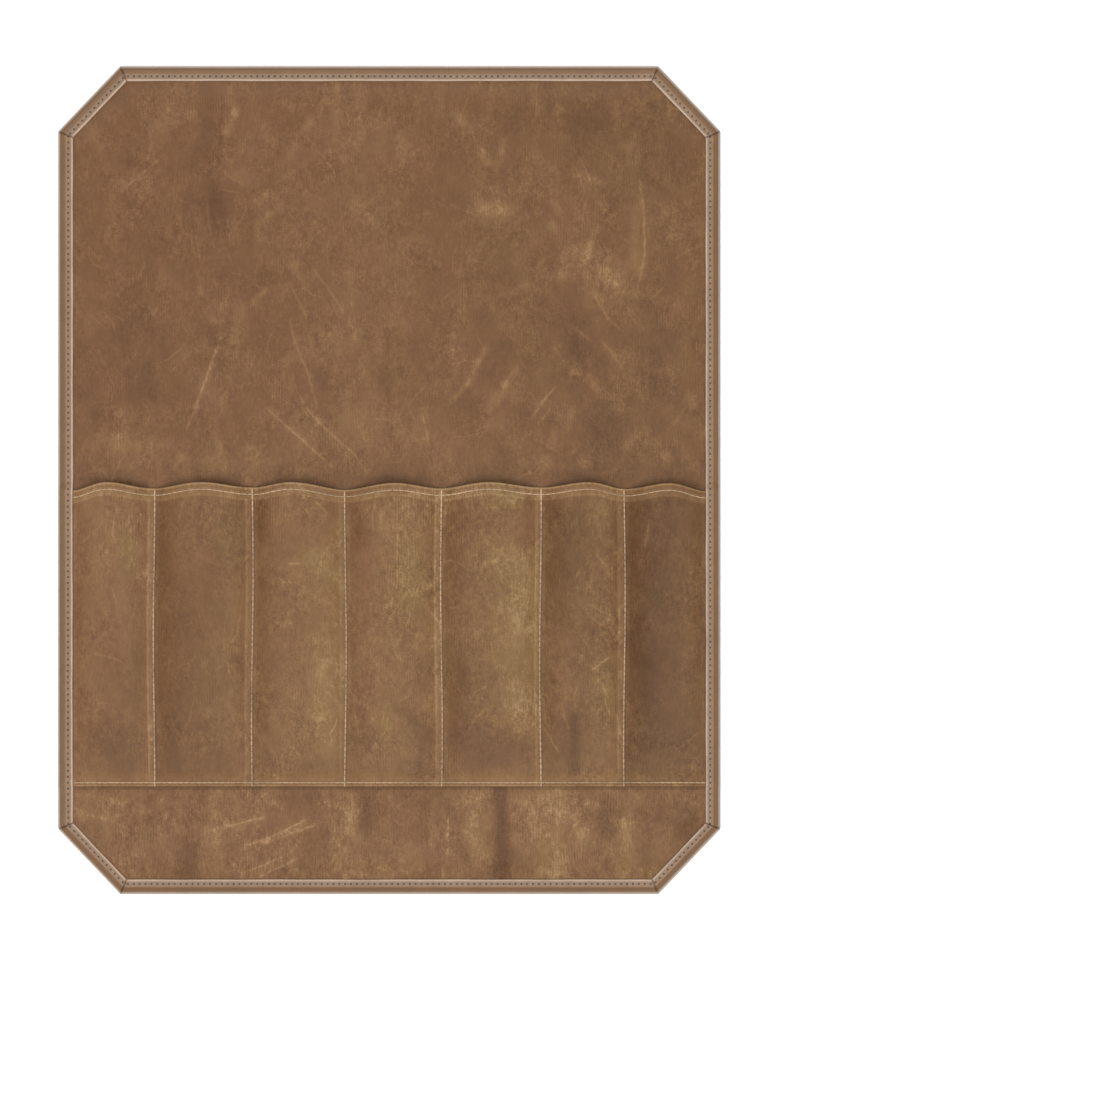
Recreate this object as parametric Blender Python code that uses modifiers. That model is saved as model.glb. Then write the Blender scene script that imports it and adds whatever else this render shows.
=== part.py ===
"""Chef's knife roll, opened flat on a table.

A leather sheet with cut corners, a pocket panel sewn across its lower half into seven
pockets, and a leather binding folded over the edge all round in eight mitred lengths.

Units are metres and +Z is up. The origin is the middle of the footprint on the table,
and +Y points out of the mouths of the pockets.
"""
import math
from collections import namedtuple

import bmesh
import bpy
from mathutils import Vector

MM = 0.001

# Outline: an oblong whose four corners are cut off
ROLL_WIDTH = 508 * MM
ROLL_HEIGHT = 635 * MM
CORNER_CUT_X = 47.7 * MM
CORNER_CUT_Y = 50.1 * MM

# Leather and the gap that separate pieces keep
BACK_WALL = 2.0 * MM
POCKET_WALL = 1.4 * MM
HEM_WALL = 2.2 * MM
SKIVED_WALL = 1.0 * MM
BINDING_WALL = 1.2 * MM
GAP = 0.3 * MM

# Binding, measured in from the outer edge: a rounded roll, then a flat sewn leg
BINDING_WIDTH = 11.5 * MM
ROLLED_BAND = 5.4 * MM
ROLL_RADIUS = 2.7 * MM
ROLL_PROUD = 0.5 * MM
ROLL_STEPS = 6
LIFT_RAMP = 6 * MM

# Back panel: its edge lies in the binding, and its field sags down to the table
EDGE_INSET = 3.2 * MM
FIELD_INSET = 26 * MM
LEG_TOP = BINDING_WALL + GAP

# Pocket panel
TUCK_INSET = 4.2 * MM
POCKET_BOTTOM = -234.8 * MM
BOTTOM_HEM = 6.5 * MM
MOUTH_HEM = 8.0 * MM
HEM_STEP = 1.0 * MM
SEAM_FLAT = 2.5 * MM
ARCH_POWER = 4
ARCH_SOFTNESS = 1.4
BULGE_FALL = 0.88
BULGE_POWER = 4
COLUMN_SHARES = (0.07, 0.14, 0.24, 0.37, 0.50, 0.63, 0.76, 0.86, 0.93)
DEPTH_SHARES = (0.12, 0.24, 0.38, 0.52, 0.64, 0.75, 0.85, 0.93)

# Lines that pin the pocket panel down, left to right, and where the mouth meets them
Seam = namedtuple("Seam", "x mouth_y")
SEAMS = (
    Seam(-242.5 * MM, -7.7 * MM),
    Seam(-180.4 * MM, -6.1 * MM),
    Seam(-105.1 * MM, -5.4 * MM),
    Seam(-33.7 * MM, -7.3 * MM),
    Seam(39.9 * MM, -6.1 * MM),
    Seam(115.8 * MM, -5.4 * MM),
    Seam(180.2 * MM, -6.5 * MM),
    Seam(242.5 * MM, -8.2 * MM),
)

# Arch of each pocket's mouth: where its crest is, as a share of the width, and how high
Arch = namedtuple("Arch", "crest_share crest_y rise")
ARCHES = (
    Arch(0.43, -1.5 * MM, 6.6 * MM),
    Arch(0.49, -1.5 * MM, 6.9 * MM),
    Arch(0.41, -1.5 * MM, 6.6 * MM),
    Arch(0.52, -2.1 * MM, 7.0 * MM),
    Arch(0.48, -1.5 * MM, 6.9 * MM),
    Arch(0.57, -1.5 * MM, 6.6 * MM),
    Arch(0.55, -2.3 * MM, 6.4 * MM),
)

# Finish of the three leathers: linear colour and roughness
Finish = namedtuple("Finish", "name colour roughness")
PANEL_FINISH = Finish("panel_leather", (0.216, 0.112, 0.061), 0.55)
POCKET_FINISH = Finish("pocket_leather", (0.205, 0.107, 0.058), 0.55)
BINDING_FINISH = Finish("binding_leather", (0.246, 0.136, 0.084), 0.50)
SMOOTH_ANGLE = math.radians(30)

# Sides of the outline, anticlockwise, each named for its length of binding
SIDES = ("bottom", "bottom_right", "right", "top_right", "top", "top_left", "left", "bottom_left")


def outline_corners():
    """Corners of the outline, anticlockwise, each where the side of the same index starts."""
    half_width = ROLL_WIDTH / 2
    half_height = ROLL_HEIGHT / 2
    inner_x = half_width - CORNER_CUT_X
    inner_y = half_height - CORNER_CUT_Y
    quarter = [(inner_x, -half_height), (half_width, -inner_y), (half_width, inner_y), (inner_x, half_height)]
    opposite = [(-x, -y) for x, y in quarter]
    ring = [opposite[3]] + quarter + opposite[:3]
    return [Vector(point) for point in ring]


OUTLINE = outline_corners()


def side_frame(index):
    """Start corner, direction and inward direction of one side."""
    start = OUTLINE[index % len(OUTLINE)]
    along = (OUTLINE[(index + 1) % len(OUTLINE)] - start).normalized()
    return start, along, Vector((-along.y, along.x))


def inset_corner(index, inset):
    """Where a corner goes when all sides move in by inset."""
    corner, _, after = side_frame(index)
    _, _, before = side_frame(index - 1)
    return corner + (before + after) * inset / (1 + before.dot(after))


def leather(finish):
    """Plain leather material with one colour."""
    material = bpy.data.materials.new(finish.name)
    material.use_nodes = True
    shader = material.node_tree.nodes["Principled BSDF"]
    shader.inputs["Base Color"].default_value = (*finish.colour, 1)
    shader.inputs["Roughness"].default_value = finish.roughness
    shader.inputs["Metallic"].default_value = 0
    return material


def add_object(name, mesh, material, collection):
    """Put a finished mesh in the collection under its name, shaded smooth except at its sharp edges."""
    mesh.materials.append(material)
    mesh.shade_smooth()
    mesh.set_sharp_from_angle(angle=SMOOTH_ANGLE)
    piece = bpy.data.objects.new(name, mesh)
    collection.objects.link(piece)
    return piece


def loft(name, sections):
    """Closed solid through a row of sections with equal point counts, capped at both ends."""
    shape = bmesh.new()
    rows = [[shape.verts.new(point) for point in section] for section in sections]
    for row, after in zip(rows, rows[1:]):
        for index in range(len(row)):
            follow = (index + 1) % len(row)
            shape.faces.new((row[index], row[follow], after[follow], after[index]))
    shape.faces.new(rows[0])
    shape.faces.new(rows[-1])
    bmesh.ops.recalc_face_normals(shape, faces=shape.faces)
    mesh = bpy.data.meshes.new(name)
    shape.to_mesh(mesh)
    shape.free()
    return mesh


def back_panel(material, collection):
    """Leather sheet: rings of the outline from the field's underside, round the edge, to its top."""
    rim_inset = BINDING_WIDTH + GAP
    rings = (
        (FIELD_INSET, 0),
        (rim_inset, LEG_TOP),
        (EDGE_INSET, LEG_TOP),
        (EDGE_INSET, LEG_TOP + BACK_WALL),
        (rim_inset, LEG_TOP + BACK_WALL),
        (FIELD_INSET, BACK_WALL),
    )
    sections = []
    for inset, height in rings:
        corners = [inset_corner(index, inset) for index in range(len(OUTLINE))]
        sections.append([(corner.x, corner.y, height) for corner in corners])
    add_object("back_panel", loft("back_panel", sections), material, collection)


def back_top(x):
    """Height of the back panel's upper face across the pocket area."""
    inset = ROLL_WIDTH / 2 - abs(x)
    share = (FIELD_INSET - inset) / (FIELD_INSET - BINDING_WIDTH - GAP)
    return BACK_WALL + LEG_TOP * min(max(share, 0), 1)


def binding_section(lift):
    """Section of the folded binding as (inset, height) points, from the upper leg round the roll.

    lift is what the pocket panel's edge adds between the two legs.
    """
    slot_top = LEG_TOP + BACK_WALL + GAP + lift
    top = slot_top + BINDING_WALL
    middle = top / 2
    points = [(BINDING_WIDTH, slot_top), (BINDING_WIDTH, top), (ROLLED_BAND, top)]
    for step in range(ROLL_STEPS + 1):
        angle = math.pi * (0.5 + step / ROLL_STEPS)
        reach = top + ROLL_PROUD - middle if math.sin(angle) > 0 else middle
        points.append((ROLL_RADIUS * (1 + math.cos(angle)), middle + reach * math.sin(angle)))
    points += [(BINDING_WIDTH, 0), (BINDING_WIDTH, BINDING_WALL), (ROLL_RADIUS, BINDING_WALL)]
    points += [(BINDING_WALL, middle), (ROLL_RADIUS, slot_top)]
    return points


def lifted_stops(index):
    """Places along a side where the binding's lift changes, as (distance, lift), in order.

    Only the left and the right lengths climb over the skived edge of the pocket panel.
    """
    if SIDES[index] not in ("left", "right"):
        return []
    start, along, _ = side_frame(index)
    mouth = SEAMS[-1].mouth_y if along.y > 0 else SEAMS[0].mouth_y
    heights = (POCKET_BOTTOM - LIFT_RAMP, POCKET_BOTTOM - GAP, mouth + GAP, mouth + LIFT_RAMP)
    lifts = (0, SKIVED_WALL + GAP, SKIVED_WALL + GAP, 0)
    return sorted(((y - start.y) / along.y, lift) for y, lift in zip(heights, lifts))


def binding_strip(index, material, collection):
    """One length of binding, lofted from mitre to mitre."""
    start, along, inward = side_frame(index)
    flat = binding_section(0)
    sections = [[(*(inset_corner(index, inset) + along * GAP / 2), height) for inset, height in flat]]
    for distance, lift in lifted_stops(index):
        section = binding_section(lift)
        sections.append([(*(start + along * distance + inward * inset), height) for inset, height in section])
    sections.append([(*(inset_corner(index + 1, inset) - along * GAP / 2), height) for inset, height in flat])
    name = "binding_" + SIDES[index]
    add_object(name, loft(name, sections), material, collection)


def crest_distance(arch, share):
    """Distance from an arch's crest, 0 there and 1 at either seam, for a share of the pocket's width."""
    if share < arch.crest_share:
        return 1 - share / arch.crest_share
    return (share - arch.crest_share) / (1 - arch.crest_share)


def mouth_height(left, right, arch, share):
    """Where the mouth runs, along Y: a cosine arch on the straight line between two seams."""
    straight = left.mouth_y + (right.mouth_y - left.mouth_y) * share
    away = crest_distance(arch, share)
    return straight + (arch.crest_y - straight) * (1 + math.cos(math.pi * away)) / 2


def mouth_bulge(arch, share, margin):
    """How far the panel stands up at the mouth: flat beside the seams, a broad soft arch between."""
    if share <= margin or share >= 1 - margin:
        return 0
    away = crest_distance(arch, (share - margin) / (1 - 2 * margin))
    return arch.rise * (1 - away ** ARCH_POWER) ** ARCH_SOFTNESS


def pocket_columns():
    """Upright grid lines of the pocket panel, left to right, as (x, mouth_y, bulge).

    The first two and the last two are the skived edges that the binding covers.
    """
    columns = []
    for left, right, arch in zip(SEAMS, SEAMS[1:], ARCHES):
        width = right.x - left.x
        margin = SEAM_FLAT / width
        for share in (0, margin, *COLUMN_SHARES, 1 - margin):
            mouth_y = mouth_height(left, right, arch, share)
            columns.append((left.x + width * share, mouth_y, mouth_bulge(arch, share, margin)))
    columns.append((SEAMS[-1].x, SEAMS[-1].mouth_y, 0))
    tuck = ROLL_WIDTH / 2 - TUCK_INSET
    return [(-tuck, SEAMS[0].mouth_y, 0)] + columns + [(tuck, SEAMS[-1].mouth_y, 0)]


def pocket_rows():
    """Level grid lines of the pocket panel from the mouth down, as (share of depth, hem or not)."""
    depth = SEAMS[0].mouth_y - POCKET_BOTTOM
    mouth = [(0, True), (MOUTH_HEM / depth, True), ((MOUTH_HEM + HEM_STEP) / depth, False)]
    middle = [(share, False) for share in DEPTH_SHARES]
    bottom = [(1 - (BOTTOM_HEM + HEM_STEP) / depth, False), (1 - BOTTOM_HEM / depth, True), (1, True)]
    return mouth + middle + bottom


def bulge_share(depth_share):
    """How much of the mouth's rise is left further down: all of it at 0, none at 1, the bottom."""
    return 1 - (1 - BULGE_FALL) * depth_share - BULGE_FALL * depth_share ** BULGE_POWER


def pocket_wall(column, column_count, hem):
    """Thickness of the pocket panel: two skived layers at a hem, one thin layer under the binding."""
    if column < 2 or column >= column_count - 2:
        return SKIVED_WALL
    return HEM_WALL if hem else POCKET_WALL


def pocket_panel(material, collection):
    """Leather sheet pinned along the seams and arched between them.

    Its upper face is a grid moved into place, and a Solidify modifier gives the wall downwards.
    """
    columns = pocket_columns()
    rows = pocket_rows()
    shape = bmesh.new()
    bmesh.ops.create_grid(shape, x_segments=len(columns) - 1, y_segments=len(rows) - 1, size=0.5)
    walls = []
    for vert in shape.verts:
        column = round((vert.co.x + 0.5) * (len(columns) - 1))
        x, mouth_y, bulge = columns[column]
        depth_share, hem = rows[round((0.5 - vert.co.y) * (len(rows) - 1))]
        y = mouth_y + (POCKET_BOTTOM - mouth_y) * depth_share
        wall = pocket_wall(column, len(columns), hem)
        vert.co = (x, y, back_top(x) + GAP + wall + bulge * bulge_share(depth_share))
        walls.append(wall)
    mesh = bpy.data.meshes.new("pocket_panel")
    shape.to_mesh(mesh)
    shape.free()
    panel = add_object("pocket_panel", mesh, material, collection)
    thickness = panel.vertex_groups.new(name="thickness")
    for index, wall in enumerate(walls):
        thickness.add([index], (wall - SKIVED_WALL) / (HEM_WALL - SKIVED_WALL), "REPLACE")
    solid = panel.modifiers.new("leather", "SOLIDIFY")
    solid.thickness = HEM_WALL
    solid.offset = -1
    solid.vertex_group = thickness.name
    solid.thickness_vertex_group = SKIVED_WALL / HEM_WALL


def build():
    for old in list(bpy.data.objects):
        bpy.data.objects.remove(old)
    collection = bpy.data.collections.new("knife_roll")
    bpy.context.scene.collection.children.link(collection)
    back_panel(leather(PANEL_FINISH), collection)
    pocket_panel(leather(POCKET_FINISH), collection)
    binding_leather = leather(BINDING_FINISH)
    for index in range(len(SIDES)):
        binding_strip(index, binding_leather, collection)


build()
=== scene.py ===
import math
from collections import namedtuple

import bpy
import numpy as np
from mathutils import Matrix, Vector


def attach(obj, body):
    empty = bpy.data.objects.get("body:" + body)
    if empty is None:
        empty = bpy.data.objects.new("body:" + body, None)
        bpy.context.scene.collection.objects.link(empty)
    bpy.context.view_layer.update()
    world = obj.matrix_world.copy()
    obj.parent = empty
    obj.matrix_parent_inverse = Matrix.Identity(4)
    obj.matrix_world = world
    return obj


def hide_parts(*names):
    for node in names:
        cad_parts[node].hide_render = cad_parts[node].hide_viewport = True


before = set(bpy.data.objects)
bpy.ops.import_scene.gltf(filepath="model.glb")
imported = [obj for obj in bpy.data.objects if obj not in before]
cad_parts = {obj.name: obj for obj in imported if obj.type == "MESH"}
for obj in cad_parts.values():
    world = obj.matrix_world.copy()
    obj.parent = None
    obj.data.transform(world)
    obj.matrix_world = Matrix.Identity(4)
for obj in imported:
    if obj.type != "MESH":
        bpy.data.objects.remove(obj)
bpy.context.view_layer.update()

# Back panel
# One piece of oiled pull-up leather 2 mm thick, an oblong with its corners cut off. Its edge is
# held inside the binding, and its field sags down to the table.
MM = 0.001
ROLL_WIDTH = 508 * MM
ROLL_HEIGHT = 635 * MM
CORNER_CUT_X = 47.7 * MM
CORNER_CUT_Y = 50.1 * MM
CORNER_SIDE = math.hypot(CORNER_CUT_X, CORNER_CUT_Y)
BACK_WALL = 2.0 * MM
LEG_TOP = 1.5 * MM
EDGE_INSET = 3.2 * MM
RIM_INSET = 11.8 * MM
FIELD_INSET = 26 * MM
POCKET_BOTTOM = -234.8 * MM
FIELD_SPACING = 2.3 * MM
HIDDEN_SPACING = 8 * MM
HIDDEN_TOP = -20 * MM
WAVE_HEIGHT = 0.25 * MM
MARK_REACH = 2.6 * MM
POINTS_AT_ONCE = 4000
PATCH_GAIN = 1.5
STRIP_TONE = 6
FIELD_SCUFFS = 110
HALO_WIDTH = 3.2
HALO_SHARE = 0.28
SCUFF_STROKES = 3
SCUFF_TURN = 0.7
SCUFF_WIDTHS = (0.5, 0.8)
SCUFF_TONES = (3, 9)
SCUFF_LENGTHS = (3, 8)

# Colours of the leather from dark to pale, each with its place on the tone scale, in sRGB
TONES = (
    (0.0, (88, 57, 32)),
    (0.25, (106, 73, 45)),
    (0.5, (124, 89, 60)),
    (0.75, (145, 109, 75)),
    (1.0, (174, 140, 104)),
)
TONE_STEP = 1 / 68
LIGHT_LEVEL = 1.8
GLOSS = 0.013
RED_TINT = (1.05, 0.965, 1.04, 1)
YELLOW_TINT = (0.965, 1.025, 0.87, 1)

# Soft pale and dark patches of the field: ends of a stroke and its half width in mm, its tone in
# sRGB steps, and its hue from -1, red, to 1, yellow. The thin dark rows at y about 0, just above
# the pockets' mouths, are painted shadow of the raised mouths, and the row along y -236.4 is painted
# shadow under the pocket panel's folded foot.
Patch = namedtuple("Patch", "x0 y0 x1 y1 width tone hue")
FIELD_PATCHES = (
    Patch(-124, 300, -118, 283, 4, 7, 0.1),
    Patch(-118, 283, -125, 268, 4, 7, 0.1),
    Patch(-125, 268, -124, 242, 4, 6, 0.1),
    Patch(-116, 233, -114, 231, 7, 5, 0.1),
    Patch(-63, 273, -84, 239, 3, 5, 0),
    Patch(-51, 289, -66, 268, 3, 5, 0),
    Patch(-40, 303, -40, 272, 2.5, 5, 0),
    Patch(-26, 300, -20, 265, 2.5, 5, 0),
    Patch(-94, 220, -93, 219, 3.5, 8, 0),
    Patch(-101, 194, -93, 203, 3, 6, 0),
    Patch(-93, 203, -81, 212, 3, 6, 0),
    Patch(-74, 166, -66, 150, 3, 6, 0),
    Patch(-72, 189, -66, 176, 2.5, 5, 0),
    Patch(-205, 226, -204, 227, 4, 6, 0),
    Patch(-175, 272, -170, 274, 6, 6, 0),
    Patch(-152, 280, -150, 280, 4, 6, 0),
    Patch(-27, 210, -27, 209, 3.5, 6, 0),
    Patch(50, 282, 57, 273, 3.5, 8, 0),
    Patch(88, 261, 86, 252, 3, 7, 0),
    Patch(86, 252, 82, 240, 3, 7, 0),
    Patch(69, 252, 76, 243, 3, 8, 0),
    Patch(70, 209, 90, 208, 6, 8, 0.2),
    Patch(125, 214, 131, 206, 3, 8, 0),
    Patch(125, 196, 128, 192, 3, 7, 0),
    Patch(158, 193, 151, 172, 4, 8, 0),
    Patch(188, 209, 188, 173, 4, 5, 0),
    Patch(146, 235, 165, 228, 2.5, 6, 0),
    Patch(188, 265, 184, 255, 3, 6, 0),
    Patch(173, 289, 176, 275, 3, 6, 0),
    Patch(141, 176, 142, 176, 8, 6, 0.2),
    Patch(132, 157, 133, 157, 6, 6, 0.2),
    Patch(190, 165, 191, 165, 6, 6, 0.2),
    Patch(165, 162, 173, 150, 3, 7, 0),
    Patch(9, 267, 9, 248, 4, 5, 0),
    Patch(-116, 131, -118, 110, 5, 4, 0.1),
    Patch(-118, 110, -121, 98, 5, 4, 0.1),
    Patch(-96, 145, -104, 137, 3, 7, 0),
    Patch(-127, 136, -135, 125, 3, 6, 0),
    Patch(-139, 122, -127, 122, 2.5, 5, 0),
    Patch(-76, 94, -81, 81, 2.5, 6, 0),
    Patch(-132, 35, -128, 8, 3, 6, 0),
    Patch(-104, 21, -103, 21, 6, 5, 0.5),
    Patch(-23, 44, -23, 32, 6, 5, 0.5),
    Patch(-160, 18, -165, 10, 2.5, 7, 0),
    Patch(-234, 28, -171, 28, 6, 5, 0.1),
    Patch(143, 84, 157, 73, 4, 8, 0),
    Patch(157, 73, 166, 62, 4, 7, 0),
    Patch(193, 64, 194, 64, 4, 6, 0),
    Patch(207, 107, 213, 95, 3, 6, 0),
    Patch(179, 143, 199, 143, 3, 5, 0.5),
    Patch(47, 100, 52, 84, 2.5, 6, 0),
    Patch(74, 101, 68, 91, 2.5, 8, 0),
    Patch(68, 91, 60, 74, 2.5, 8, 0),
    Patch(60, 74, 50, 64, 2.5, 8, 0),
    Patch(99, 88, 89, 73, 2.5, 8, 0),
    Patch(89, 73, 83, 58, 2.5, 8, 0),
    Patch(80, 65, 76, 53, 2.5, 7, 0),
    Patch(140, 53, 137, 40, 3, 8, 0),
    Patch(127, 37, 122, 25, 3, 7, 0),
    Patch(74, 41, 75, 41, 5, 8, 0),
    Patch(99, 31, 99, 28, 6, 7, 0.2),
    Patch(121, 14, 121, 12, 5, 8, 0.2),
    Patch(149, 14, 150, 14, 5, 7, 0),
    Patch(211, 17, 212, 17, 5, 8, 0),
    Patch(232, 62, 232, 60, 4, 6, 0),
    Patch(181, 25, 190, 35, 3, 7, 0),
    Patch(-134, 215, -134, 195, 11, -8, -0.2),
    Patch(158, 275, 159, 275, 15, -6, 0),
    Patch(99, 279, 100, 279, 11, -6, 0),
    Patch(47, 250, 48, 250, 10, -6, -0.4),
    Patch(165, 184, 166, 184, 9, -7, 0),
    Patch(-190, 69, -189, 69, 11, -4, 0),
    Patch(149, 106, 150, 106, 11, -6, 0),
    Patch(157, 37, 160, 37, 14, -6, 0),
    Patch(161, 92, 162, 92, 8, -5, 0),
    Patch(-2, 115, 0, 32, 2, -5, 0),
    # painted shadow cast by the raised pocket mouths onto the back panel
    Patch(-149, 1, -115, -2, 3, -6, 0),
    Patch(-13, 3, 31, 0, 3, -6, 0),
    Patch(127, 5, 177, -1, 3.5, -6, 0),
    # painted shadow under the pocket panel's folded foot
    Patch(-240, -236.4, 240, -236.4, 1.1, -9, 0),
    Patch(-240, -240, -204, -248, 3, 6, 0),
    Patch(-240, -255, -212, -261, 3, 6, 0),
    Patch(-190, -238, -190, -265, 2, 6, 0),
    Patch(-133, -238, -133, -298, 6, 6, 0.8),
    Patch(-141, -267, -141, -281, 3, 7, 0),
    Patch(-95, -242, -82, -252, 2.5, 8, 0),
    Patch(-31, -242, -31, -270, 6, 8, 0.8),
    Patch(-40, -264, -40, -292, 5, 6, 0.6),
    Patch(-156, -277, -156, -300, 7, -8, 0),
    Patch(-18, -248, -18, -266, 6, -9, 0),
    Patch(65, -242, 65, -278, 10, 8, 0.7),
    Patch(86, -236, 86, -304, 6, -16, -0.5),
    Patch(122, -242, 122, -298, 18, 8, 0.7),
    Patch(135, -257, 150, -272, 8, 7, 0.3),
    Patch(150, -248, 160, -248, 2, 7, 0),
    Patch(166, -248, 166, -270, 7, -10, 0),
    Patch(182, -266, 182, -302, 8, 8, 0.7),
    Patch(186, -241, 196, -250, 6, 6, 0.6),
    Patch(195, -250, 236, -270, 14, -7, 0),
    Patch(120, 285, 200, 255, 24, -4, 0),
    Patch(-134, 285, -134, 215, 15, -4, -0.1),
    Patch(-195, 180, -192, 80, 20, -4, 0),
    Patch(-20, 48, 50, 20, 22, 5, 0),
    Patch(140, 165, 172, 155, 15, 4, 0.1),
    Patch(66, 212, 92, 202, 11, 3.5, 0.1),
    Patch(-26, 285, -22, 90, 24, 3, 0.1),
    Patch(81, 100, 81, 84, 15, -3.5, 0),
    Patch(143, 122, 143, 84, 12, -4.5, 0),
    Patch(204, 145, 204, 65, 15, -4, 0),
    Patch(172, 34, 172, 12, 15, -4, 0),
    Patch(-212, 25, -70, 12, 14, 2.5, 0.1),
    # painted shadow just above the pocket mouths
    Patch(-214, -1, -186, -3, 1.6, -7, 0),
    Patch(-240, 0, -218, 1, 1.2, -5, 0),
    Patch(-66, 1, -38, -4, 1.6, -7, 0),
    Patch(84, 1, 110, -3, 1.6, -7, 0),
    Patch(214, 1, 240, -5, 1.6, -7, 0),
)

# Fine pale creases of the field: ends of a stroke and its half width in mm, and its tone
Crease = namedtuple("Crease", "x0 y0 x1 y1 width tone")
FIELD_CREASES = (
    Crease(-57, 160, -46, 146, 0.8, 9),
    Crease(-46, 146, -36, 130, 0.8, 9),
    Crease(-200, 227, -178, 245, 0.8, 8),
    Crease(-28, 162, -29, 136, 0.6, 7),
    Crease(192, 228, 195, 209, 1.1, 10),
    Crease(195, 209, 196, 173, 1.1, 11),
    Crease(196, 173, 191, 150, 1.0, 9),
    Crease(113, 303, 113, 279, 0.6, 6),
    Crease(128, 294, 129, 275, 0.6, 6),
    Crease(-133, 100, -141, 77, 1.2, 12),
    Crease(-141, 77, -149, 55, 1.2, 12),
    Crease(-149, 55, -155, 41, 1.0, 9),
    Crease(-76, 150, -65, 128, 1.2, 7),
    Crease(-76, 120, -72, 106, 0.9, 9),
    Crease(-72, 106, -62, 80, 0.9, 10),
    Crease(-62, 80, -56, 58, 0.8, 9),
    Crease(-68, 64, -62, 53, 0.9, 9),
    Crease(-62, 53, -42, 33, 0.9, 11),
    Crease(-42, 33, -28, 21, 0.9, 11),
    Crease(-28, 21, -17, 5, 0.8, 8),
    Crease(-95, 56, -78, 41, 0.8, 9),
    Crease(-78, 41, -56, 21, 0.9, 11),
    Crease(-56, 21, -46, 12, 0.8, 8),
    Crease(157, 142, 168, 124, 0.9, 10),
    Crease(168, 124, 178, 115, 0.8, 8),
    Crease(181, 136, 188, 123, 0.8, 8),
    Crease(165, 104, 173, 95, 0.9, 10),
    Crease(173, 95, 179, 85, 0.8, 9),
    Crease(145, 115, 152, 109, 0.9, 8),
    Crease(127, 101, 134, 91, 1.0, 8),
    Crease(127, 71, 118, 61, 1.0, 8),
    Crease(118, 61, 110, 49, 1.0, 8),
    Crease(26, 49, 30, 29, 0.8, 8),
    Crease(-108, -280, -85, -271, 1.0, 12),
    Crease(-85, -271, -67, -262, 1.0, 12),
    Crease(-95, -278, -59, -265, 1.0, 10),
    Crease(-136, -268, -98, -259, 1.0, 10),
    Crease(-111, -301, -85, -290, 1.0, 9),
    Crease(-98, -303, -72, -291, 1.0, 9),
    Crease(45, -261, 45, -285, 0.9, 12),
    Crease(41, -297, 41, -304, 0.9, 10),
)


def edge_distance(x, y):
    """Distance in from the outline: the least of those to its upright, level and slanting sides."""
    slant = (ROLL_WIDTH / 2 * CORNER_CUT_Y + (ROLL_HEIGHT / 2 - CORNER_CUT_Y) * CORNER_CUT_X) / CORNER_SIDE
    slanting = slant - (np.abs(x) * CORNER_CUT_Y + np.abs(y) * CORNER_CUT_X) / CORNER_SIDE
    return np.minimum(np.minimum(ROLL_WIDTH / 2 - np.abs(x), ROLL_HEIGHT / 2 - np.abs(y)), slanting)


def half_width(y, inset):
    """Half the width of the outline moved in by inset, at height y, the lesser of straight and slanting."""
    slant = ROLL_WIDTH / 2 * CORNER_CUT_Y + (ROLL_HEIGHT / 2 - CORNER_CUT_Y) * CORNER_CUT_X
    slanting = (slant - inset * CORNER_SIDE - np.abs(y) * CORNER_CUT_X) / CORNER_CUT_Y
    return np.minimum(ROLL_WIDTH / 2 - inset, slanting)


def smooth_step(low, high, value):
    """0 below low and 1 above high, with the cubic 3t² - 2t³ between."""
    share = np.clip((value - low) / (high - low), 0, 1)
    return share * share * (3 - 2 * share)


def back_relief(x, y):
    """Slow waves of the leather: a sum of slanting sines, 0 at the edge and under the pockets."""
    wave = np.sin(38 * x + 21 * y) + np.sin(-29 * x + 47 * y + 1) + np.sin(71 * x - 16 * y + 2)
    inside = smooth_step(RIM_INSET, 2 * FIELD_INSET, edge_distance(x, y))
    clear = smooth_step(0, 30 * MM, np.maximum(y, POCKET_BOTTOM - y))
    return WAVE_HEIGHT * (1 + wave / 3) * inside * clear


def back_top(x, y):
    """Upper face of the back panel: flat field, a soft climb to the binding, and slow waves."""
    climb = LEG_TOP * smooth_step(-FIELD_INSET, -RIM_INSET, -edge_distance(x, y))
    return BACK_WALL + climb + back_relief(x, y)


def stroke_distance(points, strokes):
    """Distance of every point to every stroke, and the signed distance to its line, both in mm."""
    start = np.array([(stroke.x0, stroke.y0) for stroke in strokes], float)
    run = np.array([(stroke.x1, stroke.y1) for stroke in strokes], float) - start
    length = np.maximum(np.hypot(run[:, 0], run[:, 1]), 0.1)
    away = points[:, None, :2] / MM - start
    share = np.clip((away * run).sum(2) / length**2, 0, 1)
    gap = away - share[..., None] * run
    side = (away[..., 0] * run[:, 1] - away[..., 1] * run[:, 0]) / length
    return np.hypot(gap[..., 0], gap[..., 1]), side


def patch_tone(points, patches):
    """Tone and hue from the patches: each falls away from its stroke as a Gaussian of its width."""
    distance, _ = stroke_distance(points, patches)
    weight = np.exp(-((distance / [patch.width for patch in patches]) ** 2))
    tone, hue = np.array([(patch.tone, patch.hue) for patch in patches], float).T
    return weight @ tone, weight @ hue


def halos(creases):
    """Soft pale halo along each crease, as a patch with a share of the crease's tone."""
    return [Patch(*crease[:4], HALO_WIDTH, HALO_SHARE * crease.tone, 0) for crease in creases]


def scuffs(count, low, high, seed):
    """Small scuffs at random between two corners, in mm: each is three strokes that bend a little.

    They start at a normal angle about the upright, and turn by a smaller one after each stroke.
    """
    random = np.random.default_rng(seed)
    rows = []
    for _ in range(count):
        x, y = random.uniform(low, high)
        angle = random.normal(math.pi / 2, SCUFF_TURN)
        width, tone = random.uniform(*SCUFF_WIDTHS), random.uniform(*SCUFF_TONES)
        for _ in range(SCUFF_STROKES):
            length = random.uniform(*SCUFF_LENGTHS)
            ahead = (x + length * math.cos(angle), y + length * math.sin(angle))
            rows.append(Crease(x, y, *ahead, width, tone))
            x, y = ahead
            angle += random.normal(0, SCUFF_TURN / 2)
    return rows


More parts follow.
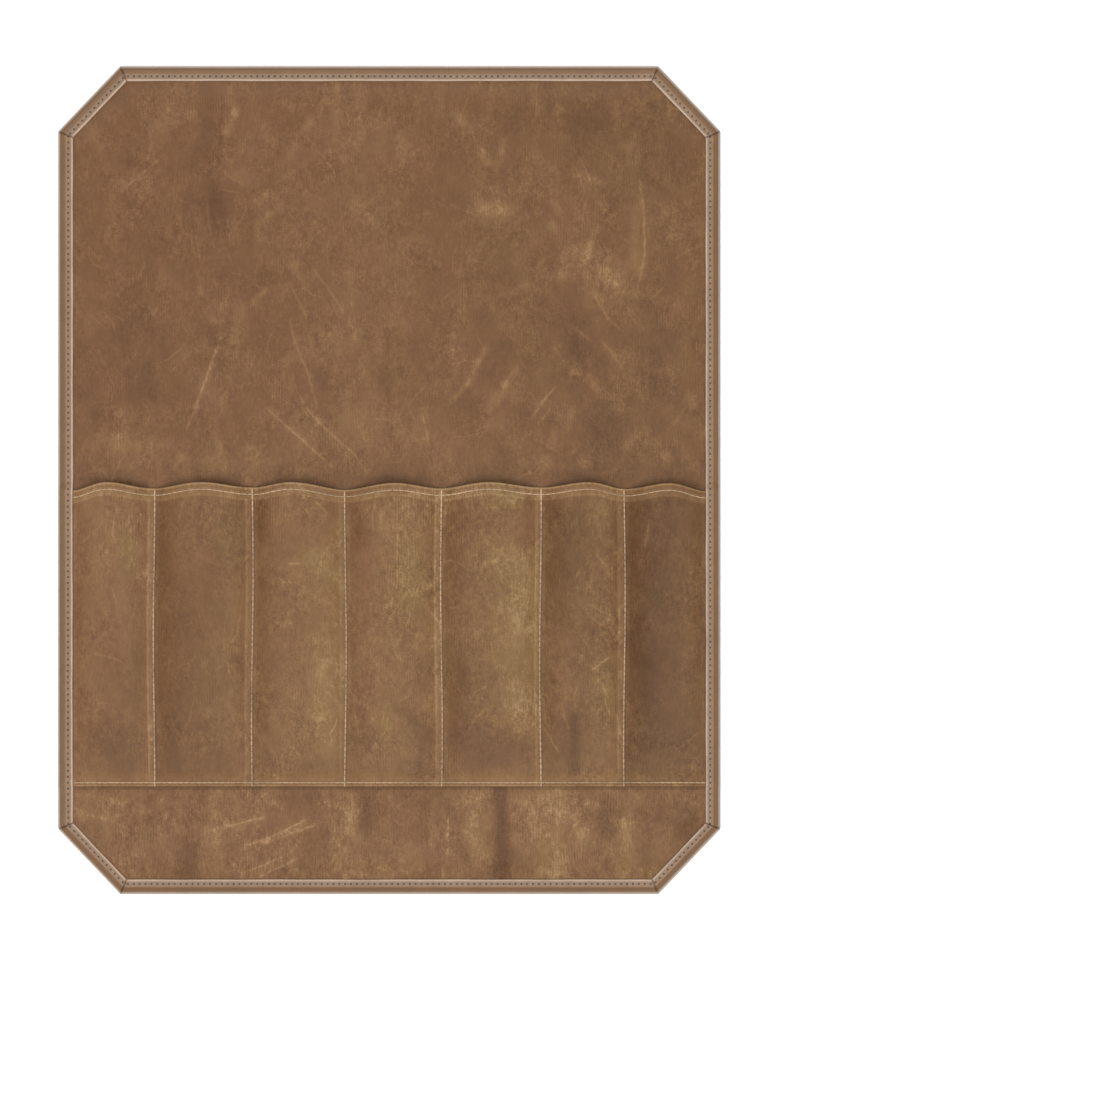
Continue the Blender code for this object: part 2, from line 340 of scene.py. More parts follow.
def crease_field(points, creases):
    """Tone of the nearest crease, faded over a few mm, and the signed distance to its line in widths."""
    tone = np.array([crease.tone for crease in creases])
    width = np.array([crease.width for crease in creases])
    weights, sides = [], []
    for part in np.array_split(points, 1 + len(points) // POINTS_AT_ONCE):
        distance, side = stroke_distance(part, creases)
        weight = tone * np.exp(-((distance * MM / MARK_REACH) ** 2))
        best = weight.argmax(1)
        every = np.arange(len(part))
        weights.append(weight[every, best])
        sides.append(side[every, best] / width[best])
    return np.concatenate(weights), np.concatenate(sides)


def add_piece(name, points, faces, material):
    """Object at the origin from points and faces, shaded smooth, with one material."""
    mesh = bpy.data.meshes.new(name)
    mesh.from_pydata(points.tolist(), [], faces)
    mesh.materials.append(material)
    mesh.shade_smooth()
    piece = bpy.data.objects.new(name, mesh)
    bpy.context.scene.collection.objects.link(piece)
    return piece


def store(piece, name, values):
    """Write one number per vertex into a named attribute."""
    piece.data.attributes.new(name, "FLOAT", "POINT").data.foreach_set("value", values.astype(np.float32))


def shell(upper, lower, rim, bulge):
    """Points and faces of a closed sheet between two grids, its edge rounded out by rim rings.

    Ring k of the rim lies at the share t = k/(rim + 1) from the upper to the lower edge, pushed
    outwards by bulge times sin(pi t).
    """
    rows, columns = upper.shape[:2]
    count = rows * columns
    grid = np.arange(count).reshape(rows, columns)
    quads = np.stack([grid[:-1, :-1], grid[:-1, 1:], grid[1:, 1:], grid[1:, :-1]], -1).reshape(-1, 4)
    ring = np.concatenate([grid[0, :-1], grid[:-1, -1], grid[-1, :0:-1], grid[:0:-1, 0]])
    top, under = upper.reshape(-1, 3), lower.reshape(-1, 3)
    tangent = np.roll(top[ring], -1, 0) - np.roll(top[ring], 1, 0)
    outward = np.stack([tangent[:, 1], -tangent[:, 0], 0 * tangent[:, 0]], -1)
    outward /= np.linalg.norm(outward, axis=1, keepdims=True)
    points, faces = [top, under], [quads, quads[:, ::-1] + count]
    above = ring
    for step in range(1, rim + 2):
        share = step / (rim + 1)
        next_ring = 2 * count + (step - 1) * len(ring) + np.arange(len(ring))
        below = next_ring if step <= rim else ring + count
        faces.append(np.stack([below, np.roll(below, -1), np.roll(above, -1), above], -1))
        if step <= rim:
            middle = top[ring] + (under[ring] - top[ring]) * share
            points.append(middle + outward * bulge * math.sin(math.pi * share))
        above = below
    return np.concatenate(points), np.concatenate(faces).tolist()


def linear(colour):
    """Linear colour that looks like these sRGB steps here: less what gloss adds, over the light's level."""
    value = np.array(colour, float) / 255
    value = np.where(value > 0.04045, ((value + 0.055) / 1.055) ** 2.4, value / 12.92)
    return (*((value - GLOSS) / LIGHT_LEVEL), 1)


def node(tree, kind, inputs=(), **settings):
    """Add a shader node with these settings, and fill its inputs from numbers or from other sockets."""
    made = tree.nodes.new(kind)
    for key, value in settings.items():
        setattr(made, key, value)
    for key, value in dict(inputs).items():
        if isinstance(value, bpy.types.NodeSocket):
            tree.links.new(value, made.inputs[key])
        else:
            made.inputs[key].default_value = value
    return made


def maths(tree, operation, *values):
    """Output of a Math node for these numbers or sockets."""
    return node(tree, "ShaderNodeMath", enumerate(values), operation=operation).outputs[0]


def noise(tree, vector, size, detail=3.0, rough=0.55, stretch=(1, 1, 1), turn=0.0):
    """Noise about 0, with features of the given size in metres, stretched and turned in plan."""
    scale = [1 / (size * part) for part in stretch]
    placed = node(tree, "ShaderNodeMapping", {"Vector": vector, "Rotation": (0, 0, turn)})
    sized = node(tree, "ShaderNodeMapping", {"Vector": placed.outputs[0], "Scale": scale})
    inputs = {"Vector": sized.outputs[0], "Scale": 1.0, "Detail": detail, "Roughness": rough}
    made = node(tree, "ShaderNodeTexNoise", inputs)
    return maths(tree, "SUBTRACT", made.outputs["Fac"], 0.5)


def xyz(tree, vector):
    """The three parts of a vector."""
    return node(tree, "ShaderNodeSeparateXYZ", {0: vector}).outputs


def attribute(tree, name):
    """Value of a vertex attribute."""
    return node(tree, "ShaderNodeAttribute", attribute_name=name).outputs["Fac"]


def ramp(tree, value, stops):
    """Colour from a ramp with these (place, sRGB colour) stops."""
    made = node(tree, "ShaderNodeValToRGB", {"Fac": value})
    elements = made.color_ramp.elements
    while len(elements) < len(stops):
        elements.new(0.5)
    for element, (place, colour) in zip(elements, stops):
        element.position = place
        element.color = linear(colour)
    return made.outputs["Color"]


# Octaves of the leather's mottling: size in mm, stretch in x and y, turn in degrees, and tone
Octave = namedtuple("Octave", "size stretch_x stretch_y turn tone")
OCTAVES = (
    Octave(90, 1, 1, 0, 10),
    Octave(30, 1, 1.6, 20, 18),
    Octave(11, 1, 1.8, -25, 18),
)
FINE_OCTAVES = (
    Octave(5, 1, 1.5, 12, 30),
    Octave(2.2, 1, 1.7, -8, 32),
)
FINE_AREA = 30 * MM
FINE_GAIN = 3.0
FINE_MEAN = 0.75
FINE_LIMITS = (0.35, 1.3)
GRAIN_SIZE = 1.1 * MM
GRAIN_TONE = 32
NAP_AREA = 45 * MM
NAP_SIZE = 0.9 * MM
NAP_STRETCH = 7
NAP_GAIN = 2.5
NAP_TONE = 34
LEAST_NAP = 0.25
RIB_AREA = 20 * MM
RIB_GAIN = 3.0
RIB_PITCH = 2.1 * MM
RIB_SHARE = 0.2
RIB_SPREAD = 25 * MM
RIB_WANDER = 4 * MM
WISP_SIZE = 26 * MM
WISP_STRETCH = 2.2
WISP_TURN = math.radians(28)
WISP_THINNESS = 22.0
WISP_TONE = 18.0
CREASE_WANDER = 2.2
CREASE_BREAKS = 3.5
CREASE_MEAN = 1.35
HUE_AREA = 55 * MM
HUE_AREA_SHARE = 1.5
HUE_SPOT = 7 * MM
HUE_SPOT_SHARE = 1.2
PORE_SIZE = 3.5 * MM
BUMP_STRENGTH = 0.8

# Height of the leather's marks in mm for each unit of their strength
LINE_HEIGHT = 0.10
GRAIN_HEIGHT = 0.05
PORE_HEIGHT = 0.12
CREASE_HEIGHT = 0.008


def mottle(tree, place, octaves, total):
    """Sum of noises, each stretched, turned and weighted as its octave says, added to total."""
    for octave in octaves:
        stretch = (octave.stretch_x, octave.stretch_y, 1)
        part = noise(tree, place, octave.size * MM, 2.0, 0.5, stretch, math.radians(octave.turn))
        total = maths(tree, "MULTIPLY_ADD", part, octave.tone, total)
    return total


def new_material(name):
    """Material with this name, its node tree, and its shader."""
    material = bpy.data.materials.new(name)
    material.use_nodes = True
    return material, material.node_tree, material.node_tree.nodes["Principled BSDF"]


def fine_marks(tree, place, grain):
    """Fine octaves and grain, stronger in some areas than in others."""
    area = maths(tree, "MULTIPLY_ADD", noise(tree, place, FINE_AREA, 2.0), FINE_GAIN, FINE_MEAN)
    least, most = FINE_LIMITS
    area = maths(tree, "MINIMUM", maths(tree, "MAXIMUM", area, least), most)
    marks = maths(tree, "MULTIPLY_ADD", grain, GRAIN_TONE, mottle(tree, place, FINE_OCTAVES, 0.0))
    return maths(tree, "MULTIPLY", marks, area)


def nap_lines(tree, place, area):
    """Nap and ribs along y: stretched noise, and a sine across x that wanders and comes in areas."""
    nap = noise(tree, place, NAP_SIZE, 2.0, 0.6, (1, NAP_STRETCH, 1))
    share = maths(tree, "MULTIPLY_ADD", area, NAP_GAIN, attribute(tree, "nap"))
    lines = maths(tree, "MULTIPLY", nap, maths(tree, "MAXIMUM", share, LEAST_NAP))
    bend = noise(tree, place, RIB_SPREAD, 2.0)
    bend = maths(tree, "MULTIPLY_ADD", bend, RIB_WANDER, xyz(tree, place)[0])
    rib = maths(tree, "SINE", maths(tree, "MULTIPLY", bend, 2 * math.pi / RIB_PITCH))
    ribbed = maths(tree, "MULTIPLY_ADD", noise(tree, place, RIB_AREA, 2.0), RIB_GAIN, area)
    ribbed = maths(tree, "MULTIPLY", maths(tree, "MAXIMUM", ribbed, 0.0), RIB_SHARE)
    return maths(tree, "MULTIPLY_ADD", rib, ribbed, lines)


def wisps(tree, place, area):
    """Thin pale wisps where a slanting noise is near 0, in the areas with much nap."""
    slant = noise(tree, place, WISP_SIZE, 4.0, 0.62, (1, WISP_STRETCH, 1), WISP_TURN)
    away = maths(tree, "MULTIPLY", maths(tree, "ABSOLUTE", slant), WISP_THINNESS)
    wisp = maths(tree, "MAXIMUM", maths(tree, "SUBTRACT", 1.0, away), 0.0)
    return maths(tree, "MULTIPLY", wisp, maths(tree, "MAXIMUM", area, 0.0))


def crease_lines(tree, place):
    """Tone of the creases: a Gaussian of the distance to each line, which wanders and is broken."""
    side = noise(tree, place, 5 * MM, 2.0)
    side = maths(tree, "MULTIPLY_ADD", side, CREASE_WANDER, attribute(tree, "crease_side"))
    line = maths(tree, "EXPONENT", maths(tree, "MULTIPLY", maths(tree, "MULTIPLY", side, side), -1.0))
    line = maths(tree, "MULTIPLY", line, attribute(tree, "crease"))
    broken = maths(tree, "MULTIPLY_ADD", noise(tree, place, 6 * MM, 3.0), CREASE_BREAKS, CREASE_MEAN)
    return maths(tree, "MULTIPLY", line, broken)


def tinted(tree, place, colour):
    """Colour moved towards red or yellow by the piece's own hue and by soft areas and spots."""
    hue = noise(tree, place, HUE_AREA, 3.0)
    hue = maths(tree, "MULTIPLY_ADD", hue, HUE_AREA_SHARE, attribute(tree, "hue"))
    hue = maths(tree, "MULTIPLY_ADD", noise(tree, place, HUE_SPOT, 2.0), HUE_SPOT_SHARE, hue)
    yellow = maths(tree, "MULTIPLY_ADD", hue, 0.5, 0.5)
    tint = node(tree, "ShaderNodeMix", {0: yellow, 6: RED_TINT, 7: YELLOW_TINT}, data_type="RGBA")
    inputs = {0: 1.0, 6: colour, 7: tint.outputs[2]}
    return node(tree, "ShaderNodeMix", inputs, data_type="RGBA", blend_type="MULTIPLY").outputs[2]


def leather(name):
    """Pull-up leather: mottling in octaves, nap, wisps, patches and creases, and their bump."""
    material, tree, shader = new_material(name)
    place = node(tree, "ShaderNodeTexCoord").outputs["Object"]
    area = noise(tree, place, NAP_AREA, 2.0)
    grain = noise(tree, place, GRAIN_SIZE, 1.0)
    total = mottle(tree, place, OCTAVES, fine_marks(tree, place, grain))
    lines = nap_lines(tree, place, area)
    total = maths(tree, "MULTIPLY_ADD", lines, NAP_TONE, total)
    total = maths(tree, "MULTIPLY_ADD", total, attribute(tree, "contrast"), attribute(tree, "tone"))
    total = maths(tree, "MULTIPLY_ADD", wisps(tree, place, area), WISP_TONE, total)
    crease = crease_lines(tree, place)
    level = maths(tree, "MULTIPLY_ADD", maths(tree, "ADD", total, crease), TONE_STEP, 0.5)
    colour = tinted(tree, place, ramp(tree, level, TONES))
    tree.links.new(colour, shader.inputs["Base Color"])
    rough = maths(tree, "MULTIPLY_ADD", level, 0.18, 0.5)
    tree.links.new(rough, shader.inputs["Roughness"])
    height = maths(tree, "MULTIPLY", lines, LINE_HEIGHT)
    height = maths(tree, "MULTIPLY_ADD", grain, GRAIN_HEIGHT, height)
    height = maths(tree, "MULTIPLY_ADD", noise(tree, place, PORE_SIZE, 3.0), PORE_HEIGHT, height)
    height = maths(tree, "MULTIPLY_ADD", crease, CREASE_HEIGHT, height)
    bump = node(tree, "ShaderNodeBump", {"Height": height, "Distance": MM, "Strength": BUMP_STRENGTH})
    tree.links.new(bump.outputs[0], shader.inputs["Normal"])
    shader.inputs["Specular IOR Level"].default_value = 0.22
    return material


def spread(stops, spacings):
    """Numbers from the first stop to the last, evenly spaced between stops at about each given spacing."""
    parts = [
        np.linspace(low, high, max(2, math.ceil((high - low) / spacing) + 1))[:-1]
        for low, high, spacing in zip(stops, stops[1:], spacings)
    ]
    return np.concatenate([*parts, [stops[-1]]])


def back_panel():
    """Octagonal sheet: a grid with x = share × half width at y, its top from back_top, 2 mm thick."""
    reach = ROLL_HEIGHT / 2 - EDGE_INSET
    turn = math.atan2(CORNER_CUT_Y, CORNER_CUT_X)
    corner = ROLL_HEIGHT / 2 - CORNER_CUT_Y - EDGE_INSET * math.tan(turn / 2)
    hidden = POCKET_BOTTOM + 10 * MM
    stops = (-reach, -corner, hidden, HIDDEN_TOP, corner, reach)
    y = spread(stops, (FIELD_SPACING, FIELD_SPACING, HIDDEN_SPACING, FIELD_SPACING, FIELD_SPACING))
    share = np.linspace(-1, 1, int((ROLL_WIDTH - 2 * EDGE_INSET) / FIELD_SPACING))
    x = half_width(y, EDGE_INSET)[:, None] * share
    y = np.broadcast_to(y[:, None], x.shape)
    top = back_top(x, y)
    upper = np.stack([x, y, top], -1)
    lower = np.stack([x, y, top - BACK_WALL], -1)
    points, faces = shell(upper, lower, 1, 0.4 * MM)
    piece = add_piece("back_panel_leather", points, faces, leather("field_leather"))
    tone, hue = patch_tone(points, [*FIELD_PATCHES, *halos(FIELD_CREASES)])
    small = scuffs(FIELD_SCUFFS, (-235, 0), (235, 305), 3)
    weight, side = crease_field(points, [*FIELD_CREASES, *small])
    olive = smooth_step(60 * MM, 200 * MM, points[:, 0]) * (points[:, 1] > 0)
    strip = (points[:, 1] < POCKET_BOTTOM).astype(float)
    store(piece, "tone", PATCH_GAIN * tone + STRIP_TONE * strip)
    store(piece, "hue", hue * (1 - 0.4 * strip) + points[:, 0] - 0.1)
    store(piece, "nap", 0.25 + 0.35 * strip)
    store(piece, "contrast", 1 + 0.12 * olive + 0.25 * strip)
    store(piece, "crease", weight)
    store(piece, "crease_side", side)
    return piece


back = back_panel()
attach(back, "root")
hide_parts("back_panel")

# Pocket panel
# A second piece of the same leather, 1.4 mm thick and hemmed at its mouth and its foot. It is sewn
# down along eight lines, and stands up in an arch between each two to make seven pockets.
GAP = 0.3 * MM
POCKET_WALL = 1.4 * MM
HEM_WALL = 2.2 * MM
SKIVED_WALL = 1.0 * MM
TUCK_INSET = 4.2 * MM
BOTTOM_HEM = 6.5 * MM
MOUTH_HEM = 8.0 * MM
HEM_STEP = 1.0 * MM
SEAM_FLAT = 2.5 * MM
ARCH_POWER = 4
ARCH_SOFTNESS = 1.4
BULGE_FALL = 0.88
BULGE_POWER = 4
MOUTH_STITCH = 5.5 * MM
BOTTOM_STITCH = 3.0 * MM
STITCH_DIP = 0.35 * MM
BAND_STEP = 0.45 * MM
BAND_EDGE = 0.35 * MM
# Painted shade on the pocket's side right of each seam, in sRGB steps
PAINTED_SEAM_SHADE = 3
POCKET_TONE = 3.5
POCKET_HUE = 0.25
POCKET_PATCH_GAIN = 0.7
POCKET_NAP = 0.5
POCKET_SCUFFS = 70
HEM_TONE = 9
FOOT_TONE = 6
# Pale line along the mouth's edge; 0.6 of it along the foot's fold is a painted highlight
EDGE_TONE = 18
LEVEL_MOUTH = -7 * MM
MOUTH_FADE = (14 * MM, 70 * MM)
COLUMN_SPACING = 2.0 * MM
RIM = 0.5 * MM

# Columns of the grid beside each seam, in mm from it
LEFT_OFFSETS = (-7, -6, -5.4, -5, -4.7, -4.2, -3.2, -2.2, -1.4, -0.8, -0.4)
RIGHT_OFFSETS = (0, 0.4, 0.8, 1.4, 2.2, 3.2, 4.5, 6)

# Lines that pin the panel down, left to right, with the raised seam allowance on the left of each
Seam = namedtuple("Seam", "x mouth_y band band_tone")
SEAMS = (
    Seam(-242.5 * MM, -7.7 * MM, 0 * MM, 0),
    Seam(-180.4 * MM, -6.1 * MM, 5.0 * MM, 12),
    Seam(-105.1 * MM, -5.4 * MM, 5.2 * MM, 12),
    Seam(-33.7 * MM, -7.3 * MM, 4.6 * MM, 4),
    Seam(39.9 * MM, -6.1 * MM, 5.0 * MM, 12),
    Seam(115.8 * MM, -5.4 * MM, 4.2 * MM, 8),
    Seam(180.2 * MM, -6.5 * MM, 5.0 * MM, 11),
    Seam(242.5 * MM, -8.2 * MM, 0 * MM, 0),
)
SEAM_X = np.array([seam.x for seam in SEAMS])

# Arch of each pocket's mouth: where its crest is, as a share of the width, and how high it stands
Arch = namedtuple("Arch", "crest_share crest_y rise")
ARCHES = (
    Arch(0.43, -1.5 * MM, 6.6 * MM),
    Arch(0.49, -1.5 * MM, 6.9 * MM),
    Arch(0.41, -1.5 * MM, 6.6 * MM),
    Arch(0.52, -2.1 * MM, 7.0 * MM),
    Arch(0.48, -1.5 * MM, 6.9 * MM),
    Arch(0.57, -1.5 * MM, 6.6 * MM),
    Arch(0.55, -2.3 * MM, 6.4 * MM),
)

# Stripes of tone beside each seam, and along the mouth's hem: place, width and tone. The dark stripe
# 1.4 mm right of each seam's thread is painted shadow of the thread.
Stripe = namedtuple("Stripe", "place width tone")
SEAM_STRIPES = (Stripe(1.4 * MM, 0.6 * MM, -7), Stripe(-1.3 * MM, 0.5 * MM, -3.5))
HEM_STRIPES = (
    Stripe(3.1 * MM, 0.7 * MM, -7),
    Stripe(MOUTH_STITCH, 1.8 * MM, 5),
    Stripe(9.4 * MM, 0.8 * MM, 6),
)

# Look of each pocket's leather, left to right: tone in sRGB steps, hue, and contrast
Look = namedtuple("Look", "tone hue contrast")
POCKET_LOOKS = (
    Look(6, -0.6, 0.9),
    Look(-1, -0.2, 0.9),
    Look(5, 0.0, 1.0),
    Look(5, 0.0, 1.05),
    Look(4, 0.1, 1.0),
    Look(-1, 0.1, 1.1),
    Look(-10, 0.2, 1.1),
)

# Soft pale and dark patches of the pockets, in mm
POCKET_PATCHES = (
    Patch(-215, -200, -200, -215, 14, -8, 0.3),
    Patch(-194, -85, -194, -215, 5, -7, 0.8),
    Patch(-200, -42, -200, -70, 5, 2, 1.0),
    Patch(-212, -165, -212, -225, 30, -10, 0.3),
    Patch(-160, -80, -160, -200, 14, -4, -0.1),
    Patch(-122, -40, -122, -200, 10, 5, 0.3),
    Patch(-124, -38, -124, -52, 7, 4, 0.7),
    Patch(-165, -198, -165, -206, 3, -9, -0.4),
    Patch(-168, -215, -150, -222, 7, -7, 0),
    Patch(-125, -129, -114, -129, 1.5, 6, 0),
    Patch(-97, -20, -97, -44, 6, -11, -0.3),
    Patch(-46, -60, -46, -195, 17, 9, 0.2),
    Patch(-98, -140, -90, -141, 6, -8, -0.3),
    Patch(-97, -221, -92, -221, 5, -10, -0.2),
    Patch(-60, -60, -45, -72, 9, 8, 0.8),
    Patch(-48, -120, -48, -190, 13, 5, 0.4),
    Patch(-78, -102, -53, -88, 3, 6, 0.2),
    Patch(-45, -207, -45, -215, 7, 5, 0.2),
    Patch(-24, -20, -24, -48, 7, -8, -0.5),
    Patch(-20, -60, -20, -180, 8, 4, -0.6),
    Patch(-22, -65, -21, -68, 6, -6, -0.4),
    Patch(-6, -26, -6, -40, 2.2, 11, 0.1),
    Patch(28, -22, 28, -70, 8, -11, -0.2),
    Patch(28, -195, 28, -225, 9, -11, -0.3),
    Patch(18, -55, 18, -92, 10, 6, 1.2),
    Patch(-12, -166, -12, -184, 3, 9, 0.2),
    Patch(-1, -175, -1, -195, 3, 8, 0.9),
    Patch(-18, -198, -18, -205, 3, -10, 0),
    Patch(14, -180, 30, -194, 8, -10, 0),
    Patch(26, -138, 26, -158, 7, -9, 0),
    Patch(14, -210, 15, -210, 3, 9, 0),
    Patch(55, -40, 55, -200, 11, -8, -0.2),
    Patch(85, -12, 98, -15, 6, 5, 1.0),
    Patch(106, -16, 106, -26, 4, -9, 0),
    Patch(96, -55, 96, -185, 19, 12, 0.5),
    Patch(103, -66, 103, -130, 11, 5, 0.2),
    Patch(57, -150, 57, -157, 5, -8, 0),
    Patch(58, -28, 104, -44, 14, -10, -0.6),
    Patch(55, -200, 98, -205, 16, -17, -0.4),
    Patch(95, -205, 101, -209, 5, -7, 0),
    Patch(72, -214, 86, -218, 6, -6, 0),
    Patch(126, -22, 138, -38, 12, -14, 0),
    Patch(130, -62, 130, -105, 12, -9, 0),
    Patch(144, -24, 144, -60, 8, -8, 0),
    Patch(164, -22, 164, -36, 7, 7, 0.3),
    Patch(130, -122, 130, -175, 11, 5, -0.4),
    Patch(163, -150, 163, -172, 9, 9, 0.9),
    Patch(142, -182, 142, -222, 4.5, -26, -0.4),
    Patch(196, -30, 196, -200, 11, -8, 0),
    Patch(208, -20, 208, -180, 14, -7, 0),
    Patch(198, -143, 198, -181, 7, -9, 0),
    Patch(203, -107, 214, -114, 4, 9, 0.2),
    Patch(209, -118, 215, -120, 3, 8, 0),
    Patch(239, -150, 239, -158, 3, 6, 0.8),
)

# Fine pale creases of the pockets, in mm
POCKET_CREASES = (
    Crease(-54, -18, -48, -25, 0.9, 12),
    Crease(-66, -20, -60, -27, 0.8, 8),
    Crease(-75, -64, -66, -64, 0.8, 9),
    Crease(160, -58, 167, -67, 0.9, 10),
    Crease(167, -67, 170, -74, 0.9, 8),
    Crease(157, -144, 167, -137, 0.9, 12),
    Crease(132, -173, 137, -189, 0.9, 12),
    Crease(118, -189, 129, -207, 0.9, 12),
    Crease(198, -36, 198, -44, 0.9, 13),
    Crease(196, -43, 196, -48, 0.9, 11),
)


def seam_bands(x):
    """Offset of x from every seam, and 1 on the raised allowance at a seam's left, with a soft edge."""
    offset = x[..., None] - SEAM_X
    width = np.array([seam.band for seam in SEAMS])
    return offset, smooth_step(-width - BAND_EDGE, -width, offset) * (offset < 0) * (width > 0)


def seam_wobble(x, y):
    """Sideways drift of the sewn lines, a slow sine down each seam that fades away from it."""
    near = np.abs(x[..., None] - SEAM_X)
    nearest = near.argmin(-1)
    fade = np.exp(-((near.min(-1) / (14 * MM)) ** 2)) * ((nearest > 0) & (nearest < len(SEAMS) - 1))
    return 0.6 * MM * np.sin(27 * y + 1.7 * nearest) * fade


def arch_at(x):
    """Mouth height and bulge of the pocket panel at x.

    The mouth follows the straight line between two seams plus (1 + cos(pi a))/2 of the crest's rise
    over it, where a is the distance from the crest, and the bulge is rise × (1 - a^4)^1.4.
    """
    left = np.clip(np.searchsorted(SEAM_X, x, side="right") - 1, 0, len(ARCHES) - 1)
    width = SEAM_X[left + 1] - SEAM_X[left]
    share = np.clip((x - SEAM_X[left]) / width, 0, 1)
    mouth = np.array([seam.mouth_y for seam in SEAMS])
    crest, crest_y, rise = np.array(ARCHES).T[:, left]
    straight = mouth[left] + (mouth[left + 1] - mouth[left]) * share
    away = np.where(share < crest, 1 - share / crest, (share - crest) / (1 - crest))
    height = straight + (crest_y - straight) * (1 + np.cos(np.pi * away)) / 2
    margin = SEAM_FLAT / width
    inner = np.clip((share - margin) / (1 - 2 * margin), 0, 1)
    away = np.where(inner < crest, 1 - inner / crest, (inner - crest) / (1 - crest))
    return height, rise * (1 - away**ARCH_POWER) ** ARCH_SOFTNESS


def dip(distance, width):
    """1 on a sewn line, falling away from it as a Gaussian."""
    return np.exp(-((distance / width) ** 2))


def pocket_surface(x, drop):
    """Upper face and wall of the pocket panel for places x, at a distance drop down from its mouth.

    The wall is hemmed near the mouth and the foot and skived under the binding. The face is the back
    panel plus the gap, the wall and the arch, less the dips of the stitches, plus the seam bands.
    """
    mouth, bulge = arch_at(x)
    reach = LEVEL_MOUTH - POCKET_BOTTOM
    follow = 1 - smooth_step(*MOUTH_FADE, drop)
    y = LEVEL_MOUTH + (mouth - LEVEL_MOUTH) * follow - drop
    depth = np.clip(drop / reach, 0, 1)
    share = 1 - (1 - BULGE_FALL) * depth - BULGE_FALL * depth**BULGE_POWER
    mouth_hem = 1 - smooth_step(MOUTH_HEM, MOUTH_HEM + HEM_STEP, drop)
    foot_hem = smooth_step(reach - BOTTOM_HEM - 5 * HEM_STEP, reach - BOTTOM_HEM, drop)
    wall = POCKET_WALL + (HEM_WALL - POCKET_WALL) * np.maximum(mouth_hem, foot_hem)
    tucked = np.abs(x) > SEAM_X[-1] - 0.1 * MM
    wall = np.where(tucked, SKIVED_WALL, wall)
    offset, bands = seam_bands(x)
    sewn = dip(offset[..., 1:-1], 0.9 * MM).sum(-1)
    sewn = np.maximum(sewn, dip(drop - MOUTH_STITCH, 1.0 * MM) * ~tucked)
    sewn = np.maximum(sewn, dip(drop - reach + BOTTOM_STITCH, 1.0 * MM) * ~tucked)
    band = bands.sum(-1) * (1 - mouth_hem * 0.5 - foot_hem)
    z = back_top(x, y) + GAP + wall + bulge * share + BAND_STEP * band - STITCH_DIP * sewn
    return np.stack([x + seam_wobble(x, y), y, z], -1), wall


def pocket_tone(x, drop):
    """Tone of the pocket panel in sRGB steps: pale hems, edges and bands, painted shade on the right of
    each seam, painted shadow beside each seam's thread, and a painted highlight on the foot's fold.
    """
    offset, band = seam_bands(x)
    width = np.array([seam.band for seam in SEAMS])
    band_tone = np.array([seam.band_tone for seam in SEAMS])
    line = 0.55 + 0.8 * dip(offset + width - 0.7 * MM, 0.8 * MM)
    tone = (band * band_tone * line).sum(1)
    # the stripe right of each seam's thread is painted shadow of the thread
    for stripe in SEAM_STRIPES:
        tone = tone + stripe.tone * dip(offset - stripe.place, stripe.width)[:, 1:-1].sum(1)
    # painted shade: darker on the right of each seam, where the pocket's flank rises away from the light
    shade = smooth_step(2.0 * MM, 4.5 * MM, offset) * (1 - smooth_step(8 * MM, 34 * MM, offset))
    tone = tone - PAINTED_SEAM_SHADE * shade[:, 1:-1].sum(1)
    reach = LEVEL_MOUTH - POCKET_BOTTOM
    hem = 1 - smooth_step(9 * MM, 11 * MM, drop)
    foot = smooth_step(reach - 12 * MM, reach - 9 * MM, drop)
    edge = 1 - smooth_step(0.9 * MM, 1.8 * MM, drop)
    # the foot's pale line is a painted highlight on its fold
    edge = edge + 0.6 * smooth_step(reach - 1.5 * MM, reach - 0.8 * MM, drop)
    tone = tone * (1 - 0.6 * hem) * (1 - 0.7 * foot)
    tone = tone + HEM_TONE * hem + FOOT_TONE * foot + EDGE_TONE * edge
    return tone + sum(stripe.tone * dip(drop - stripe.place, stripe.width) for stripe in HEM_STRIPES)


